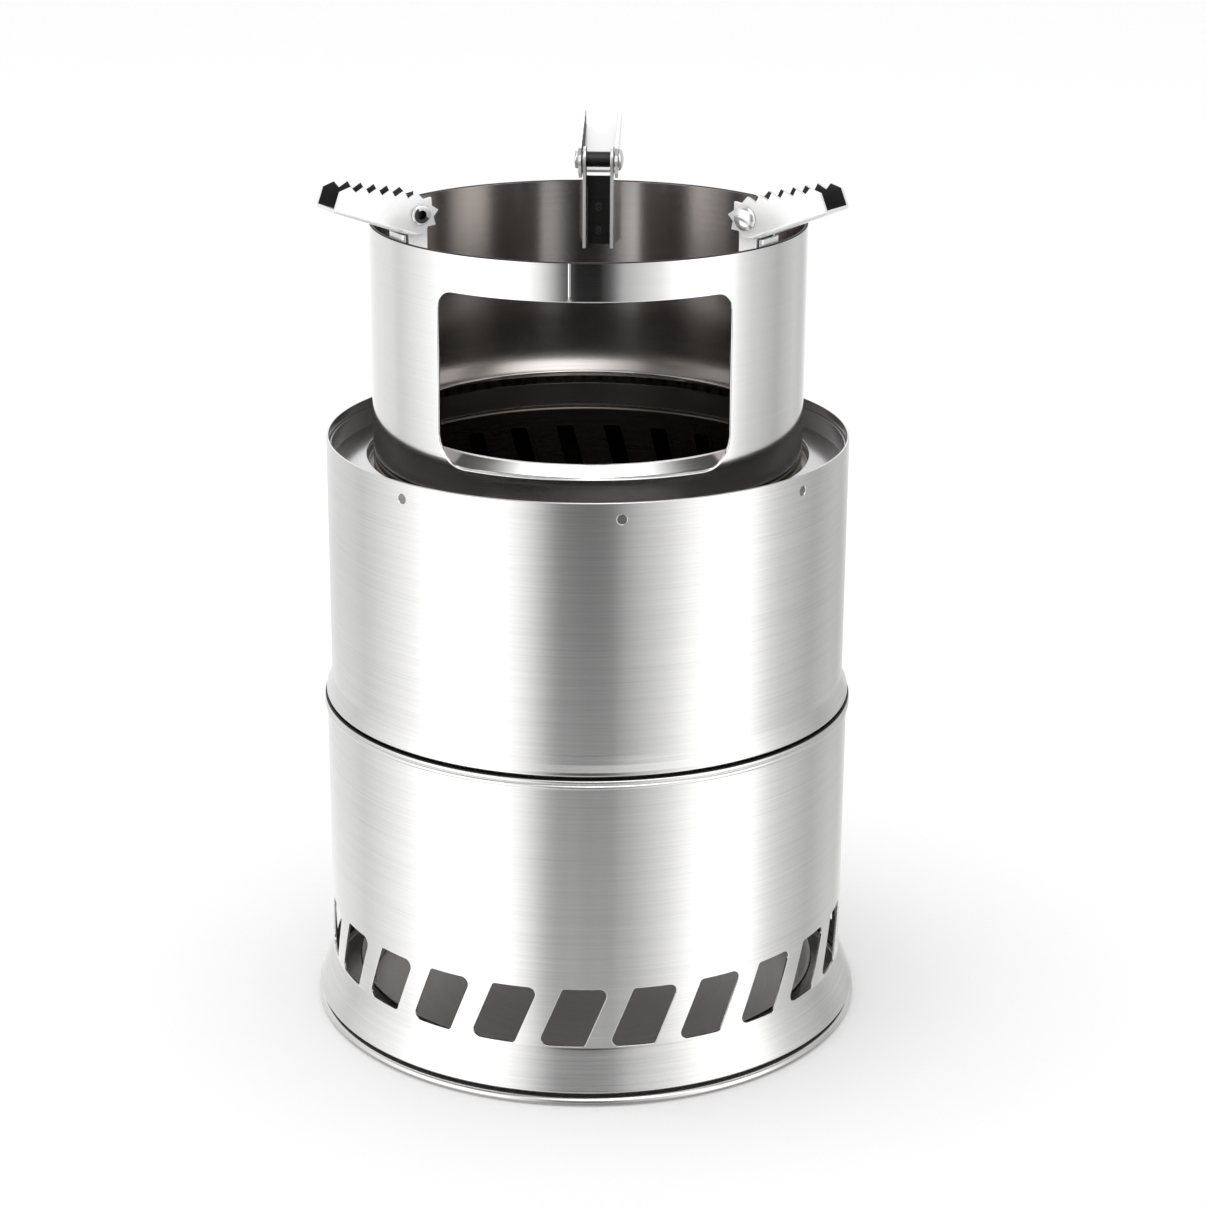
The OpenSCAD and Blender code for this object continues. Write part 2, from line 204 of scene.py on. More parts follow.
def make_world():
    world = bpy.data.worlds.new("studio")
    world.use_nodes = True
    scene.world = world
    tree = world.node_tree
    tree.nodes.clear()
    x, y, z = split(tree, tree.nodes.new("ShaderNodeTexCoord").outputs["Generated"])
    azimuth = maths(tree, "ARCTAN2", x, maths(tree, "MULTIPLY", y, -1))
    turn_part = maths(tree, "MULTIPLY_ADD", azimuth, 0.5 / math.pi, 0.5)    # 0.5 is ahead
    def by_azimuth(stops):
        return ramp(tree, turn_part, [((a + 180) / 360, v) for a, v in stops])
    half = len(MIRRORED) // 2       # a colour ramp holds 32 stops at most
    left = by_azimuth(MIRRORED[:half + 1])
    right = by_azimuth(MIRRORED[half:])
    on_right = maths(tree, "GREATER_THAN", turn_part, (MIRRORED[half][0] + 180) / 360)
    bands = mix(tree, on_right, left, right)
    rise = maths(tree, "MULTIPLY_ADD", z, 0.5, 0.5)
    kept = [ramp(tree, rise, [((s + 1) / 2, v) for s, v in stops]) for stops in (AROUND, AHEAD)]
    ahead = ramp(tree, turn_part, [(.45, 0), (.484, 1), (.516, 1), (.55, 0)])
    mirrored = mix(tree, 1.0, bands, mix(tree, ahead, *kept), "MULTIPLY")
    aside = maths(tree, "MULTIPLY", maths(tree, "ABSOLUTE", azimuth), 1 / math.pi)
    overhead = ramp(tree, aside, [(a / 180, v) for a, v in OVERHEAD])
    high = ramp(tree, z, [(.5, 0), (.58, 1)])
    mirrored = mix(tree, 1.0, mirrored, mix(tree, high, (1, 1, 1), overhead), "MULTIPLY")
    rising = by_azimuth(RISING)
    front = ramp(tree, turn_part, [(.19, 0), (.2, 1), (.8, 1), (.81, 0)])
    risen = maths(tree, "MULTIPLY", front, ramp(tree, z, [(.5, 0), (.6, 1)]))
    mirrored = mix(tree, risen, mirrored, rising)
    glossy = tree.nodes.new("ShaderNodeLightPath").outputs["Is Glossy Ray"]
    background = tree.nodes.new("ShaderNodeBackground")
    tree.links.new(mix(tree, glossy, (1.06, 1.06, 1.06), mirrored), background.inputs["Color"])
    output = tree.nodes.new("ShaderNodeOutputWorld")
    tree.links.new(background.outputs[0], output.inputs["Surface"])


def area_light(name, place, target, size, power):
    data = bpy.data.lights.new(name, "AREA")
    data.shape = "RECTANGLE"
    data.size, data.size_y = size
    data.energy = power
    light = bpy.data.objects.new(name, data)
    light.location = place
    light.rotation_euler = (Vector(target) - Vector(place)).to_track_quat("-Z", "Y").to_euler()
    light.visible_glossy = False
    scene.collection.objects.link(light)


def make_studio():
    half = 4
    mesh = bpy.data.meshes.new("floor")
    corners = [(-half, -half, 0), (half, -half, 0), (half, half, 0), (-half, half, 0)]
    mesh.from_pydata(corners, [], [(0, 1, 2, 3)])
    floor = bpy.data.objects.new("floor", mesh)
    scene.collection.objects.link(floor)
    paper = bpy.data.materials.new("paper")
    paper.use_nodes = True
    shader = paper.node_tree.nodes["Principled BSDF"]
    shader.inputs["Base Color"].default_value = (0.92, 0.92, 0.92, 1)
    shader.inputs["Roughness"].default_value = 0.9
    mesh.materials.append(paper)
    floor.visible_glossy = False
    area_light("key", (-0.4, -0.1, 1.6), (0, 0, 0.1), (0.9, 0.9), 4)
    scene.view_settings.view_transform = "Standard"


# ---- Materials ----

def steel(name, colour, roughness, anisotropy=0.7, streak=0.1, metallic=1, dulled=None):
    """Stainless sheet whose fine grain runs round the stove. dulled is (low, high, roughness added
    at low), for sheet that is rougher towards its foot."""
    material = bpy.data.materials.new(name)
    material.use_nodes = True
    tree = material.node_tree
    shader = tree.nodes["Principled BSDF"]
    shader.inputs["Metallic"].default_value = metallic
    shader.inputs["Anisotropic"].default_value = anisotropy
    shader.inputs["Anisotropic Rotation"].default_value = 0.25
    tangent = tree.nodes.new("ShaderNodeTangent")
    tangent.direction_type = "RADIAL"
    tangent.axis = "Z"
    tree.links.new(tangent.outputs[0], shader.inputs["Tangent"])
    x, y, z = split(tree, tree.nodes.new("ShaderNodeTexCoord").outputs["Object"])
    squares = maths(tree, "MULTIPLY", x, x), maths(tree, "MULTIPLY", y, y)
    across = maths(tree, "ADD", z, maths(tree, "SQRT", maths(tree, "ADD", *squares)))
    def noise(along, over, detail):
        node = tree.nodes.new("ShaderNodeTexNoise")
        node.inputs["Scale"].default_value = 1
        node.inputs["Detail"].default_value = detail
        vector = joined(tree, maths(tree, "MULTIPLY", x, along), maths(tree, "MULTIPLY", y, along),
                        maths(tree, "MULTIPLY", across, over))
        tree.links.new(vector, node.inputs["Vector"])
        return node.outputs["Fac"]
    fine = noise(35, 3600, 2)
    coarse = noise(9, 900, 3)
    tone = maths(tree, "ADD", maths(tree, "MULTIPLY", fine, 0.6), maths(tree, "MULTIPLY", coarse, 0.4))
    dark = tuple(c * (1 - streak) for c in colour)
    tree.links.new(ramp(tree, tone, [(0.3, dark), (0.7, colour)]), shader.inputs["Base Color"])
    rough = maths(tree, "MULTIPLY_ADD", fine, 0.05, roughness - 0.025)
    if dulled:
        low, high, added = dulled
        part = maths(tree, "DIVIDE", maths(tree, "SUBTRACT", z, low * MM), (high - low) * MM)
        rough = maths(tree, "ADD", rough, ramp(tree, part, [(0, added), (0.5, added * 0.7), (1, 0)]))
    tree.links.new(rough, shader.inputs["Roughness"])
    bump = tree.nodes.new("ShaderNodeBump")
    bump.inputs["Strength"].default_value = 0.12
    bump.inputs["Distance"].default_value = 0.00002
    tree.links.new(fine, bump.inputs["Height"])
    tree.links.new(bump.outputs[0], shader.inputs["Normal"])
    return material


# Name, colour, roughness, anisotropy, how much darker the streaks are, and how metallic it is
SHELL = steel("shell_brushed", (0.86, 0.855, 0.85), 0.22)
# Near black copy of the shell's steel for the faces inside the stand and burner, the plate's inward
# faces and the ash tray's outside and underside: painted shade.
SHELL_INSIDE_SHADE = steel("shell_inside_painted_shade", (0.09, 0.085, 0.08), 0.2, 0.4)
# Near black steel for lines painted as shade: the stand's hem groove and foot, the burner's seat and
# the ring's top edge.
GROOVE_SHADE = steel("shell_groove_painted_shade", (0.05, 0.048, 0.045), 0.5, 0)
RING = steel("ring_polished", (0.95, 0.945, 0.94), 0.1, streak=0.04)
# Darker, browner copy of the ring's steel for its faces that look inwards: painted shade.
RING_INSIDE_SHADE = steel("ring_inside_painted_shade", (0.58, 0.55, 0.53), 0.17, 0.6, dulled=(147, 160, 0.07))
# Grey copy of the pan's steel for the lower half of its rolled rim: painted shade where the rim turns
# down to the floor.
PAN_EDGE_SHADE = steel("pan_edge_painted_shade", (0.45, 0.43, 0.41), 0.3, 0.4)
PLATE = steel("plate_rolled", (0.70, 0.69, 0.70), 0.2, 0.4)
POT = steel("pot_dull", (0.20, 0.18, 0.16), 0.28, 0.3, 0.25)
TRAY = steel("tray_dull", (0.80, 0.78, 0.75), 0.5, 0.3, 0.1, 0.55)
ARM = steel("arm_bright", (0.92, 0.92, 0.92), 0.2, 0, 0.04, 0.4)
# Near black copy of the arms' steel for the faces inside their channels and brackets and in the
# pivots' bores: painted shade.
ARM_INSIDE_SHADE = steel("arm_inside_painted_shade", (0.07, 0.07, 0.07), 0.45, 0, 0.2)
RIVET = steel("rivet_bright", (0.88, 0.88, 0.88), 0.14, 0, 0.05, 0.7)
WELD = steel("weld_spot", (0.34, 0.33, 0.32), 0.34, 0, 0.3)
# Darker copy of the weld spots' steel for the spots inside the ring: painted shade.
WELD_INSIDE_SHADE = steel("weld_spot_inside_painted_shade", (0.13, 0.125, 0.12), 0.4, 0, 0.3)


# ---- Meshes: sheets turned round the stove's axis ----

def turn(r, z, angle):
    """A point at a radius and height, at an azimuth in degrees from the front towards +X."""
    a = math.radians(angle)
    return (r * math.sin(a), -r * math.cos(a), z)


class Skin:
    """A mesh grown face by face, in millimetres, with the exact normal at each corner."""

    def __init__(self):
        self.index, self.points, self.faces, self.normals, self.slots = {}, [], [], [], []

    def vertex(self, point):
        key = tuple(round(c * 1e4) for c in point)
        if key not in self.index:
            self.index[key] = len(self.points)
            self.points.append(point)
        return self.index[key]

    def face(self, corners, slot=0):
        """corners is a list of (point, normal). Corners that fall together are taken once."""
        kept = []
        for point, normal in corners:
            i = self.vertex(point)
            if i not in [k for k, _ in kept]:
                kept.append((i, normal))
        if len(kept) > 2:
            self.faces.append([i for i, _ in kept])
            self.normals.extend(normal for _, normal in kept)
            self.slots.append(slot)

    def build(self, name, materials):
        mesh = bpy.data.meshes.new(name)
        mesh.from_pydata([[c * MM for c in p] for p in self.points], [], self.faces)
        mesh.polygons.foreach_set("material_index", self.slots)
        mesh.polygons.foreach_set("use_smooth", [True] * len(self.faces))
        for material in materials:
            mesh.materials.append(material)
        mesh.normals_split_custom_set([Vector(n).normalized() for n in self.normals])
        piece = bpy.data.objects.new(name, mesh)
        scene.collection.objects.link(piece)
        return piece


def evenly(low, high, parts):
    return [low + (high - low) * k / parts for k in range(parts + 1)]


def unit(x, y):
    length = math.hypot(x, y)
    return (x / length, y / length)


def right_of(a, b):
    """The unit normal on the right of the step from a to b."""
    return unit(b[1] - a[1], a[0] - b[0])


def sheet_outline(path, t, bend, edge):
    """A bent sheet's closed outline in radius and height: its face `path`, the sheet t thick on the
    path's left (or right, where t is negative). Returns corners and the radius that rounds each."""
    last = len(path) - 1
    other, convex = [], []
    for i, (r, z) in enumerate(path):
        n1 = right_of(path[max(i, 1) - 1], path[max(i, 1)])
        n2 = right_of(path[min(i, last - 1)], path[min(i, last - 1) + 1])
        scale = t / (1 + n1[0] * n2[0] + n1[1] * n2[1])
        other.append((r - scale * (n1[0] + n2[0]), z - scale * (n1[1] + n2[1])))
        convex.append((n1[0] * n2[1] - n1[1] * n2[0] > 0) == (t > 0))
    thick = abs(t)
    face = [edge if i in (0, last) else bend + (thick if c else 0) for i, c in enumerate(convex)]
    back = [edge if i in (0, last) else bend + (0 if c else thick) for i, c in enumerate(convex)]
    corners = list(zip(path, face)) + list(zip(other, back))[::-1]
    return corners if t > 0 else corners[::-1]


def arc(r, z, radius, low, high):
    """A round bead's points and normals, in an outline that walks up."""
    steps = math.ceil((high - low) / ARC_STEP)
    turns = [math.radians(low + (high - low) * k / steps) for k in range(steps + 1)]
    return [(r + radius * math.cos(t), z + radius * math.sin(t), math.cos(t), math.sin(t))
            for t in turns]


def rounded_outline(items):
    """Points (r, z, normal r, normal z) round a closed outline, the solid on its left. An item is
    ((r, z), radius) for a corner, or the list of points that arc() gives."""
    count, out = len(items), []
    for i, item in enumerate(items):
        if isinstance(item, list):
            out += item
            continue
        (r, z), radius = item
        last, following = items[i - 1], items[(i + 1) % count]
        before = last[-1][:2] if isinstance(last, list) else last[0]
        after = following[0][:2] if isinstance(following, list) else following[0]
        n1, n2 = right_of(before, (r, z)), right_of((r, z), after)
        sweep = math.atan2(n1[0] * n2[1] - n1[1] * n2[0], n1[0] * n2[0] + n1[1] * n2[1])
        # a corner takes less than half of either side
        room = 0.48 * min(math.dist(before, (r, z)), math.dist((r, z), after))
        reach = min(abs(radius * math.tan(sweep / 2)), room)
        if r < 1e-6 or reach < 1e-4 or abs(sweep) < 1e-3:
            out += [(r, z, *n1), (r, z, *n2)]
            continue
        radius = math.copysign(reach / math.tan(abs(sweep) / 2), sweep)
        start = (r + n1[1] * reach, z - n1[0] * reach)
        centre = (start[0] - n1[0] * radius, start[1] - n1[1] * radius)
        steps = max(2, math.ceil(abs(math.degrees(sweep)) / ARC_STEP))
        for k in range(steps + 1):
            a = sweep * k / steps
            n = (n1[0] * math.cos(a) - n1[1] * math.sin(a), n1[0] * math.sin(a) + n1[1] * math.cos(a))
            out.append((centre[0] + n[0] * radius, centre[1] + n[1] * radius, *n))
    return out + out[:1]


def cut_band(outline, r_out, r_in, low, high):
    """Opens a closed outline where its two upright faces pass the band: its upper and lower parts."""
    def crossing(r, up):
        for i in range(len(outline) - 1):
            a, b = outline[i], outline[i + 1]
            if max(abs(a[0] - r), abs(b[0] - r)) < 1e-3 and (b[1] > a[1]) == up:
                if min(a[1], b[1]) <= low and max(a[1], b[1]) >= high:
                    return i
        raise ValueError(f"no upright face at radius {r} passes the band")
    out_at, in_at = crossing(r_out, True), crossing(r_in, False)
    ring = outline[:-1]
    def between(i, j):
        return [ring[k % len(ring)] for k in range(i + 1, j + 1 + (len(ring) if j < i else 0))]
    upper = [(r_out, high, 1, 0)] + between(out_at, in_at) + [(r_in, high, -1, 0)]
    lower = [(r_in, low, -1, 0)] + between(in_at, out_at) + [(r_out, low, 1, 0)]
    return upper, lower


def no_seam(angle):
    return 0, 0


def seam_at(azimuth, radius):
    """A rolled shell's weld: a low ridge up the wall. Gives its height and slope at an azimuth."""
    def seam(angle):
        across = (math.radians(angle - azimuth) + math.pi) % (2 * math.pi) - math.pi
        x = across * radius / SEAM_HALF_WIDTH
        if abs(x) >= 1:
            return 0, 0
        return (SEAM_HEIGHT * (1 + math.cos(math.pi * x)) / 2,
                -SEAM_HEIGHT * math.pi / 2 * math.sin(math.pi * x) / SEAM_HALF_WIDTH)
    return seam


def round_columns():
    """Azimuths all the way round."""
    return [-180.0 + i * 360 / COLUMNS for i in range(COLUMNS + 1)]


def seamed_columns(azimuth, radius):
    """The same, with closer ones over a seam."""
    half = SEAM_HALF_WIDTH
    near = [azimuth + math.degrees(x / radius) for x in (-half, -0.24, -0.12, 0, 0.12, 0.24, half)]
    return sorted([a for a in round_columns() if abs(a - azimuth) > 0.7 * 360 / COLUMNS] + near)


def span(angles, low, high):
    """The columns from one azimuth to another."""
    return [a for a in angles if low - 1e-6 < a < high + 1e-6]


def corner(point, normal, angle, seam):
    """A turned outline point as (place, normal), the seam standing on faces that look outwards."""
    r, z = point[:2]
    nr, nz = normal
    height, slope = (part * max(nr, 0) for part in seam(angle))
    a = math.radians(angle)
    n = (nr * math.sin(a) - slope * math.cos(a), -nr * math.cos(a) - slope * math.sin(a), nz)
    return turn(r + height, z, angle), n


def revolve(skin, outline, angles, seam=no_seam, inner_slot=0, groove=None):
    """Turns an outline through the columns. Faces that look inwards take inner_slot; groove is
    (slot, low, high), for the faces that lie between two heights."""
    for p, q in zip(outline, outline[1:]):
        if math.dist(p[:2], q[:2]) < 1e-6:
            continue
        slot = inner_slot if p[2] + q[2] < -0.6 else 0
        if groove and groove[1] < (p[1] + q[1]) / 2 < groove[2]:
            slot = groove[0]
        for a, b in zip(angles, angles[1:]):
            skin.face([corner(p, p[2:], a, seam), corner(p, p[2:], b, seam),
                       corner(q, q[2:], b, seam), corner(q, q[2:], a, seam)], slot)


def plain_wall(skin, r_out, r_in, band, angles, seam):
    """Both faces of a stretch of upright wall, between the two heights of a band."""
    low, high = band
    revolve(skin, [(r_out, low, 1, 0), (r_out, high, 1, 0)], angles, seam)
    revolve(skin, [(r_in, high, -1, 0), (r_in, low, -1, 0)], angles, seam, INNER)


# ---- Meshes: holes through a turned sheet ----

def rounded_polygon(corners, radii, step=0.9):
    """A closed outline, counter-clockwise, its corners rounded and its sides divided.
    Returns points and the unit normal at each that points away from the hole."""
    count, out = len(corners), []
    for i, radius in enumerate(radii):
        p, before, after = corners[i], corners[i - 1], corners[(i + 1) % count]
        n1, n2 = right_of(before, p), right_of(p, after)
        sweep = math.atan2(n1[0] * n2[1] - n1[1] * n2[0], n1[0] * n2[0] + n1[1] * n2[1])
        reach = radius * math.tan(sweep / 2)
        start = (p[0] + n1[1] * reach, p[1] - n1[0] * reach)
        centre = (start[0] - n1[0] * radius, start[1] - n1[1] * radius)
        steps = max(3, math.ceil(math.degrees(sweep) / ARC_STEP))
        for k in range(steps + 1):
            a = sweep * k / steps
            n = (n1[0] * math.cos(a) - n1[1] * math.sin(a), n1[0] * math.sin(a) + n1[1] * math.cos(a))
            out.append(((centre[0] + n[0] * radius, centre[1] + n[1] * radius), n))
    divided = []
    for (p, n), (q, m) in zip(out, out[1:] + out[:1]):
        parts = max(1, math.ceil(math.dist(p, q) / step)) if n[0] * m[0] + n[1] * m[1] > 0.9999 else 1
        divided += [((p[0] + (q[0] - p[0]) * k / parts, p[1] + (q[1] - p[1]) * k / parts), n)
                    for k in range(parts)]
    return divided


def circle_outline(x, z, radius, count=24):
    turns = [2 * math.pi * k / count for k in range(count)]
    return [((x + radius * math.cos(t), z + radius * math.sin(t)), (math.cos(t), math.sin(t)))
            for t in turns]


def inside(point, outline):
    x, z = point
    hit = False
    for (a, b), (c, d) in zip(outline, outline[1:] + outline[:1]):
        if (b > z) != (d > z) and x < (c - a) * (z - b) / (d - b) + a:
            hit = not hit
    return hit


def pierced_tile(skin, r_out, r_in, rows, angles, hole, edge, lean=(0, 0), seam=no_seam, inner_slot=0):
    """A stretch of upright wall with one hole. rows are heights; angles the azimuths of the columns,
    which lean by lean[0] degrees a millimetre about the height lean[1]. hole is in azimuth millimetres
    at r_out and height; edge is the radius that rounds the hole's rims."""
    per_mm = math.degrees(1 / r_out)
    slope, middle = lean
    rim = [(x + edge * n[0], z + edge * n[1]) for (x, z), n in hole]
    def spot(angle, z):
        return (angle + slope * (z - middle)) / per_mm, z
    kept = [spot(a, z) for z in (rows[0], rows[-1]) for a in angles]
    for z in rows[1:-1]:
        for s in (spot(a, z) for a in angles[1:-1]):
            if not inside(s, rim) and min(math.dist(s, q) for q in rim) > edge + 0.15:
                kept.append(s)
    count = len(rim)
    spots = rim + kept
    loop = [(i, (i + 1) % count) for i in range(count)]
    triangles, sources = geometry.delaunay_2d_cdt([Vector(s) for s in spots], loop, [], 0, 1e-6)[2:4]
    for triangle in triangles:
        at = [spots[sources[i][0]] for i in triangle]
        (ax, az), (bx, bz), (cx, cz) = at
        area = (bx - ax) * (cz - az) - (bz - az) * (cx - ax)
        centre = (ax + bx + cx) / 3, (az + bz + cz) / 3
        if abs(area) < 1e-5 or inside(centre, rim):
            continue
        if area < 0:
            at.reverse()
        skin.face([corner((r_out, z), (1, 0), x * per_mm, seam) for x, z in at], 0)
        skin.face([corner((r_in, z), (-1, 0), x * per_mm, seam) for x, z in at[::-1]], inner_slot)
    sections = [(r_out, -1, t) for t in RIM_TURNS] + [(r_in, 1, t) for t in RIM_TURNS[::-1]]
    def rim_corner(i, section):
        (x, z), n = hole[i % count]
        r, way, t = section
        t = math.radians(t)
        out = edge * (1 - math.sin(t))
        angle = (x + out * n[0]) * per_mm
        a = math.radians(angle)
        facing = (-way * math.cos(t) * math.sin(a) - math.sin(t) * n[0] * math.cos(a),
                  way * math.cos(t) * math.cos(a) - math.sin(t) * n[0] * math.sin(a),
                  -math.sin(t) * n[1])
        lift = seam(angle)[0] if way < 0 else 0
        return turn(r + lift + way * edge * (1 - math.cos(t)), z + out * n[1], angle), facing
    for i in range(count):
        for s, e in zip(sections, sections[1:]):
            skin.face([rim_corner(i, s), rim_corner(i + 1, s), rim_corner(i + 1, e), rim_corner(i, e)])


# ---- Turned pieces ----

def place(piece, body, slot, *nodes):
    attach(piece, body)
    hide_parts(*nodes)


def leaning_hole(size, lean, radii, x, z):
    """An upright slot centred at x and z whose top leans towards +x."""
    w, h = size[0] / 2, size[1] / 2
    corners = [(x - w - lean / 2, z - h), (x + w - lean / 2, z - h),
               (x + w + lean / 2, z + h), (x - w + lean / 2, z + h)]
    return rounded_polygon(corners, radii)


def leaning_row(skin, outline, r_out, r_in, middle, reach, count, phase, size, lean, radii, edge,
                tile_columns, inner_slot, grooves=(None, None)):
    """A turned sheet with a row of leaning slots, centred at a height and an azimuth; the band of
    tiles that holds them reaches below and above it."""
    low, high = middle - reach[0], middle + reach[1]
    upper, lower = cut_band(outline, r_out, r_in, low, high)
    pitch = 360 / count
    slope = math.degrees(lean / size[1] / r_out)
    every = [phase - pitch / 2 + i * pitch / tile_columns for i in range(count * tile_columns + 1)]
    revolve(skin, upper, [a + slope * reach[1] for a in every], no_seam, inner_slot, grooves[0])
    revolve(skin, lower, [a - slope * reach[0] for a in every], no_seam, inner_slot, grooves[1])
    rows = evenly(low, high, round((high - low) / 1.5))
    for k in range(count):
        azimuth = phase + k * pitch
        hole = leaning_hole(size, lean, radii, math.radians(azimuth) * r_out, middle)
        angles = every[k * tile_columns:(k + 1) * tile_columns + 1]
        pierced_tile(skin, r_out, r_in, rows, angles, hole, edge, (slope, middle),
                     inner_slot=inner_slot)


def base_pan():
    bead, floor = 1.03, 0.8
    inside_rim = BASE_R - 2 * bead
    skin = Skin()
    outline = rounded_outline([((0, 0), 0), ((BASE_R, 0), bead), ((BASE_R, 2 * bead), bead),
                               ((inside_rim, 2 * bead), 0.9), ((inside_rim, floor), 0.3),
                               ((0, floor), 0)])
    split_at = next(i for i, p in enumerate(outline) if p[1] > bead)
    # The rim's lower half is painted shade, grey.
    revolve(skin, outline[:split_at + 1], round_columns(), groove=(SHADE_LINE, -1, bead))
    revolve(skin, outline[split_at:], round_columns(), groove=(INNER, floor - 0.01, floor + 0.01))
    place(skin.build("base_pan_sheet", [SHELL, TRAY, PAN_EDGE_SHADE]), "stand", "shell_steel", "base_pan")


def lower_shell():
    r_in = STAND_R - SHEET_T
    foot = [((65.9, 2.11), 0.15), ((65.9, 2.5), 0.2), ((HEM_R - 0.7, 2.9), 0.2), ((HEM_R, 3.6), 0.5),
            ((STAND_R + 0.35, 12.0), 1.5), ((STAND_R + 0.08, 12.7), 1), ((STAND_R, 13.1), 0.4)]
    inner = [((r_in, 13.0), 0.4), ((r_in + 0.1, 12.6), 1), ((r_in + 0.4, 11.8), 1),
             ((HEM_R - 0.75, 3.65), 0.3), ((65.3, 2.9), 0.2), ((65.3, 2.11), 0.15)]
    hem = [((STAND_R, STAND_H - 4 * HEM_BEAD), 0.1),
           arc(STAND_R, STAND_H - 3 * HEM_BEAD, HEM_BEAD, -62, 62),
           arc(STAND_R, STAND_H - HEM_BEAD, HEM_BEAD, -62, 85), ((r_in, STAND_H), 0.2)]
    outline = rounded_outline(foot + hem + inner)
    middle = VENT_Z + VENT_SIZE[1] / 2
    skin = Skin()
    # The hem's groove and the foot carry painted shade lines, near black.
    leaning_row(skin, outline, STAND_R, r_in, middle, (7.5, 9), VENT_COUNT, VENT_PHASE, VENT_SIZE,
                VENT_LEAN, radii=(1.7, 0.8, 1.7, 0.8), edge=0.15, tile_columns=16, inner_slot=INNER,
                grooves=((SHADE_LINE, STAND_H - 0.25, STAND_H + 1), (SHADE_LINE, 0, 3.05)))
    # The sheet's faces that look inwards are painted shade, near black.
    sheet = skin.build("lower_shell_sheet", [SHELL, SHELL_INSIDE_SHADE, GROOVE_SHADE])
    place(sheet, "stand", "shell_steel", "lower_shell")


def ash_tray():
    floor = 1.1
    top = floor + SHEET_T
    path = [(0, floor), (53.8, floor), (54.6, floor + 0.8), (56.1, floor + 7.4), (57, floor + 8)]
    outline = rounded_outline(sheet_outline(path, SHEET_T, 0.8, 0.2))
    skin = Skin()
    revolve(skin, outline, round_columns(), no_seam, INNER, (INNER, top - 0.01, top + 0.01))
    # The tray's outside and underside are painted shade, near black; its inside and floor are dull
    # steel.
    place(skin.build("ash_tray_sheet", [SHELL_INSIDE_SHADE, TRAY]), "ash_tray", "tray_steel", "ash_tray")


def upper_shell():
    r_in = BURNER_R - SHEET_T
    path = [(BURNER_R, 72.7), (BURNER_R, SEAT_Z), (63.2, SEAT_Z), (63.7, SEAT_Z + 0.5),
            (63.6, SEAT_Z + 1.3), (62.9, SEAT_Z + 2.94), (BURNER_R, SEAT_Z + 4.9),
            (BURNER_R, BURNER_TOP)]
    outline = rounded_outline(sheet_outline(path, SHEET_T, 0.3, 0.22))
    band = (SPOT_Z - 2.4, SPOT_Z + 2.4)
    upper, lower = cut_band(outline, BURNER_R, r_in, *band)
    seam = seam_at(BURNER_SEAM, BURNER_R)
    skin = Skin()
    angles = seamed_columns(BURNER_SEAM, BURNER_R)
    # The seat carries a painted shade line, near black.
    revolve(skin, upper, angles, seam, INNER)
    revolve(skin, lower, angles, seam, INNER, (SHADE_LINE, SEAT_Z - 0.1, SEAT_Z + 0.25))
    left = -180
    for azimuth in sorted(SPOT_AZIMUTHS):       # a tile 9 degrees wide round each weld spot
        right = math.floor(azimuth) - 4
        plain_wall(skin, BURNER_R, r_in, band, span(angles, left, right), seam)
        left = right + 9
        hole = circle_outline(math.radians(azimuth) * BURNER_R, SPOT_Z, SPOT_R)
        pierced_tile(skin, BURNER_R, r_in, evenly(*band, 6), span(angles, right, left), hole, 0.22,
                     seam=seam, inner_slot=INNER)
    plain_wall(skin, BURNER_R, r_in, band, span(angles, left, 180), seam)
    # The sheet's faces that look inwards are painted shade, near black.
    sheet = skin.build("upper_shell_sheet", [SHELL, SHELL_INSIDE_SHADE, GROOVE_SHADE])
    place(sheet, "burner", "shell_steel", "upper_shell")


def top_plate():
    low = SHELF_Z - SHEET_T
    path = [(SHELF_R, low + 5), (SHELF_R, low + 0.4), (SHELF_R - 0.5, low), (SHELF_HOLE_R, low + 1.8)]
    outline = rounded_outline(sheet_outline(path, -SHEET_T, 0.3, 0.2))
    skin = Skin()
    revolve(skin, outline, round_columns(), inner_slot=INNER)
    # The plate's faces that look inwards are painted shade, near black.
    place(skin.build("top_plate_sheet", [PLATE, SHELL_INSIDE_SHADE]), "burner", "plate_steel", "top_plate")


def fire_pot():
    r_out = POT_R + POT_T
    ledge = 136.9
    path = [(57, 137.71), (53.1, 138.54), (53.1, ledge), (r_out, ledge), (r_out, POT_BOTTOM),
            (POT_LEDGE_R, POT_BOTTOM)]
    outline = rounded_outline(sheet_outline(path, -POT_T, 0.4, 0.2))
    middle = SLOT_TOP - SLOT_SIZE[1] / 2
    phase = 180 / SLOT_COUNT - math.degrees(SLOT_LEAN / 2 / POT_R)
    skin = Skin()
    leaning_row(skin, outline, r_out, POT_R, middle, (9, 9), SLOT_COUNT, phase, SLOT_SIZE,
                SLOT_LEAN, radii=(0.6, 0.6, 0.6, 0.6), edge=0.15, tile_columns=12, inner_slot=0)
    place(skin.build("fire_pot_sheet", [POT]), "burner", "pot_steel", "fire_pot")


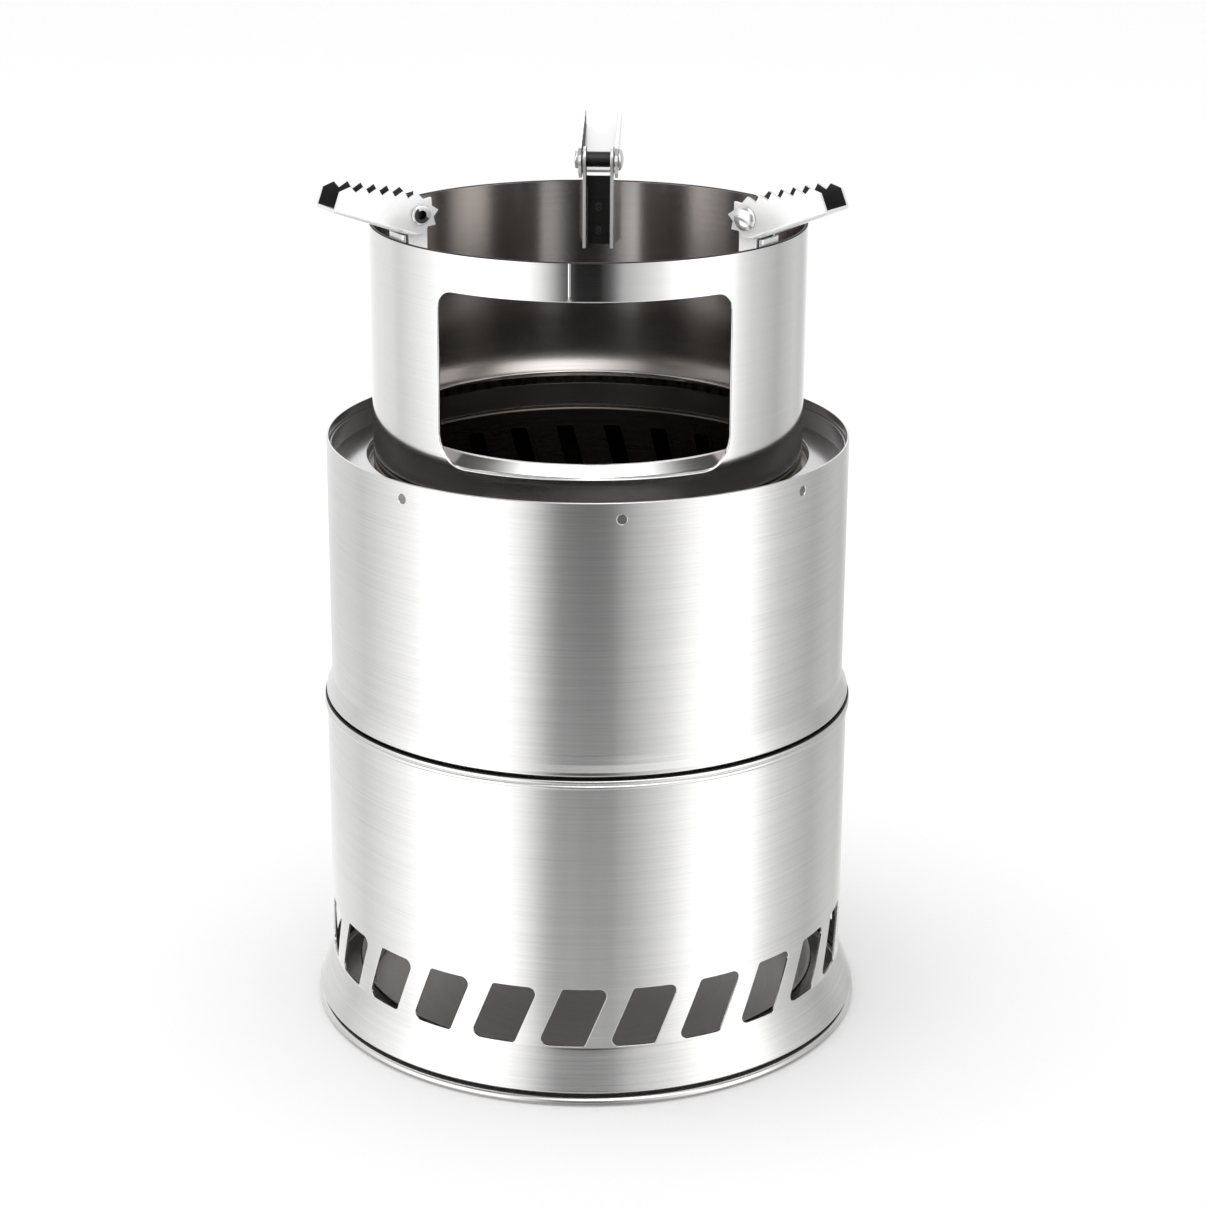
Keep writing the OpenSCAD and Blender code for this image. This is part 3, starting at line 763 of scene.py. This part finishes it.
def top_ring():
    r_in = RING_R - RING_T
    edge = 0.3
    outline = rounded_outline([((r_in, RING_BOTTOM), edge), ((RING_R, RING_BOTTOM), edge),
                               ((RING_R, RING_TOP), edge), ((r_in, RING_TOP), edge)])
    band = (WINDOW_LOW - 1.4, WINDOW_HIGH + 1.4)
    upper, lower = cut_band(outline, RING_R, r_in, *band)
    seam = seam_at(RING_SEAM, RING_R)
    angles = seamed_columns(RING_SEAM, RING_R)
    skin = Skin()
    # The ring's top edge carries a painted shade line, near black.
    revolve(skin, upper, angles, seam, INNER, (SHADE_LINE, RING_TOP - 0.2, RING_TOP + 0.1))
    revolve(skin, lower, angles, seam, INNER)
    side = 50       # azimuth at which the window's tile ends
    for part in (span(angles, -180, -side), span(angles, side, 180)):
        plain_wall(skin, RING_R, r_in, band, part, seam)
    left, right = (math.radians(a) * RING_R for a in WINDOW_SIDES)
    corners = [(left, WINDOW_LOW), (right, WINDOW_LOW), (right, WINDOW_HIGH), (left, WINDOW_HIGH)]
    window = rounded_polygon(corners, (7, 7, 4, 4))
    pierced_tile(skin, RING_R, r_in, evenly(*band, 36), span(angles, -side, side), window, edge,
                 seam=seam, inner_slot=INNER)
    # The ring's faces that look inwards are painted shade, a darker copy of its steel.
    place(skin.build("top_ring_sheet", [RING, RING_INSIDE_SHADE, GROOVE_SHADE]), "ring", "ring_steel", "top_ring")


def ring_flange():
    r = RING_R - RING_T - 0.05
    path = [(r, FLANGE_LOW), (r, WINDOW_LOW - 0.9), (r - 0.8, WINDOW_LOW - 0.1),
            (FLANGE_HOLE_R + 1, 148.2), (FLANGE_HOLE_R, 148.3)]
    outline = rounded_outline(sheet_outline(path, SHEET_T, 0.5, 0.2))
    skin = Skin()
    revolve(skin, outline, round_columns())
    place(skin.build("ring_flange_sheet", [RING]), "ring", "plate_steel", "ring_flange")


# ---- Small pieces, refined from their CAD nodes ----

def refined(node, body, slot, materials, bevel, inner=None):
    """A CAD node with its faces merged and its edges rounded. inner(centre, normal) says which of
    its faces take the second material."""
    bm = bmesh.new()
    bm.from_mesh(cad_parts[node].data)
    bmesh.ops.remove_doubles(bm, verts=bm.verts, dist=2e-6)
    bmesh.ops.dissolve_limit(bm, angle_limit=math.radians(FLAT_ANGLE), verts=bm.verts, edges=bm.edges)
    sharp = [e for e in bm.edges
             if len(e.link_faces) == 2 and e.calc_face_angle(0) > math.radians(SHARP_ANGLE)]
    bmesh.ops.bevel(bm, geom=sharp, offset=bevel * MM, segments=2, profile=0.5, affect="EDGES",
                    clamp_overlap=True)
    bm.normal_update()
    for face in bm.faces:
        face.smooth = True
        if inner and inner(face.calc_center_median(), face.normal):
            face.material_index = INNER
        else:
            face.material_index = 0
    mesh = bpy.data.meshes.new(node + "_mesh")
    bm.to_mesh(mesh)
    bm.free()
    if "custom_normal" in mesh.attributes:
        mesh.attributes.remove(mesh.attributes["custom_normal"])
    for material in materials:
        mesh.materials.append(material)
    piece = bpy.data.objects.new(node + "_detail", mesh)
    scene.collection.objects.link(piece)
    weighted = piece.modifiers.new("flat faces", "WEIGHTED_NORMAL")
    weighted.weight = 90
    place(piece, body, slot, node)


def in_channel(side, web=False):
    """Which faces of an arm or bracket look across its channel from within a cheek, or, where web is
    true, in from its web."""
    a = math.radians(ARM_AZIMUTHS[side])
    across = Vector((math.cos(a), math.sin(a), 0))
    def test(centre, normal):
        x, sideways = centre.dot(across), normal.dot(across)
        if sideways * x < 0 and abs(sideways) > 0.9:
            return True
        inwards = -normal.dot(Vector((centre.x, centre.y, 0)).normalized()) > 0.9
        return web and inwards and abs(x) < WEB_HALF * MM
    return test


def in_rivet(side):
    """Which faces of a pivot lie in its bore, on its shank or under its heads."""
    a = math.radians(ARM_AZIMUTHS[side])
    across = Vector((math.cos(a), math.sin(a), 0))
    middle = Vector(turn(PIVOT_R, PIVOT_Z, ARM_AZIMUTHS[side])) * MM
    def test(centre, normal):
        off = centre - middle
        along = off.dot(across)
        radius = (off - along * across).length
        return along > 0 and radius < PIVOT_BORE_R * MM or abs(along) < PIVOT_SHANK * MM
    return test


def small_pieces():
    # Faces inside each channel, and each pivot's bore, shank and the faces under its heads, are
    # painted shade, near black.
    for side in ARM_AZIMUTHS:
        refined("arm_" + side, "arm_" + side, "arm_steel", [ARM, ARM_INSIDE_SHADE], 0.2, in_channel(side))
        refined("bracket_" + side, "ring", "arm_steel", [ARM, ARM_INSIDE_SHADE], 0.2,
                in_channel(side, web=True))
        refined("pivot_" + side, "ring", "rivet_steel", [RIVET, ARM_INSIDE_SHADE], 0.08, in_rivet(side))
    refined("fire_grate", "grate", "pot_steel", [POT], 0.1)
    refined("shell_weld_spots", "burner", "weld_steel", [WELD], 0.12)
    # The brackets' weld spots inside the ring are painted shade, darker than those outside.
    refined("bracket_weld_spots", "ring", "weld_steel", [WELD_INSIDE_SHADE], 0.1)


make_camera()
make_world()
make_studio()
for make_piece in (base_pan, lower_shell, ash_tray, upper_shell, top_plate, fire_pot, top_ring,
                   ring_flange, small_pieces):
    make_piece()
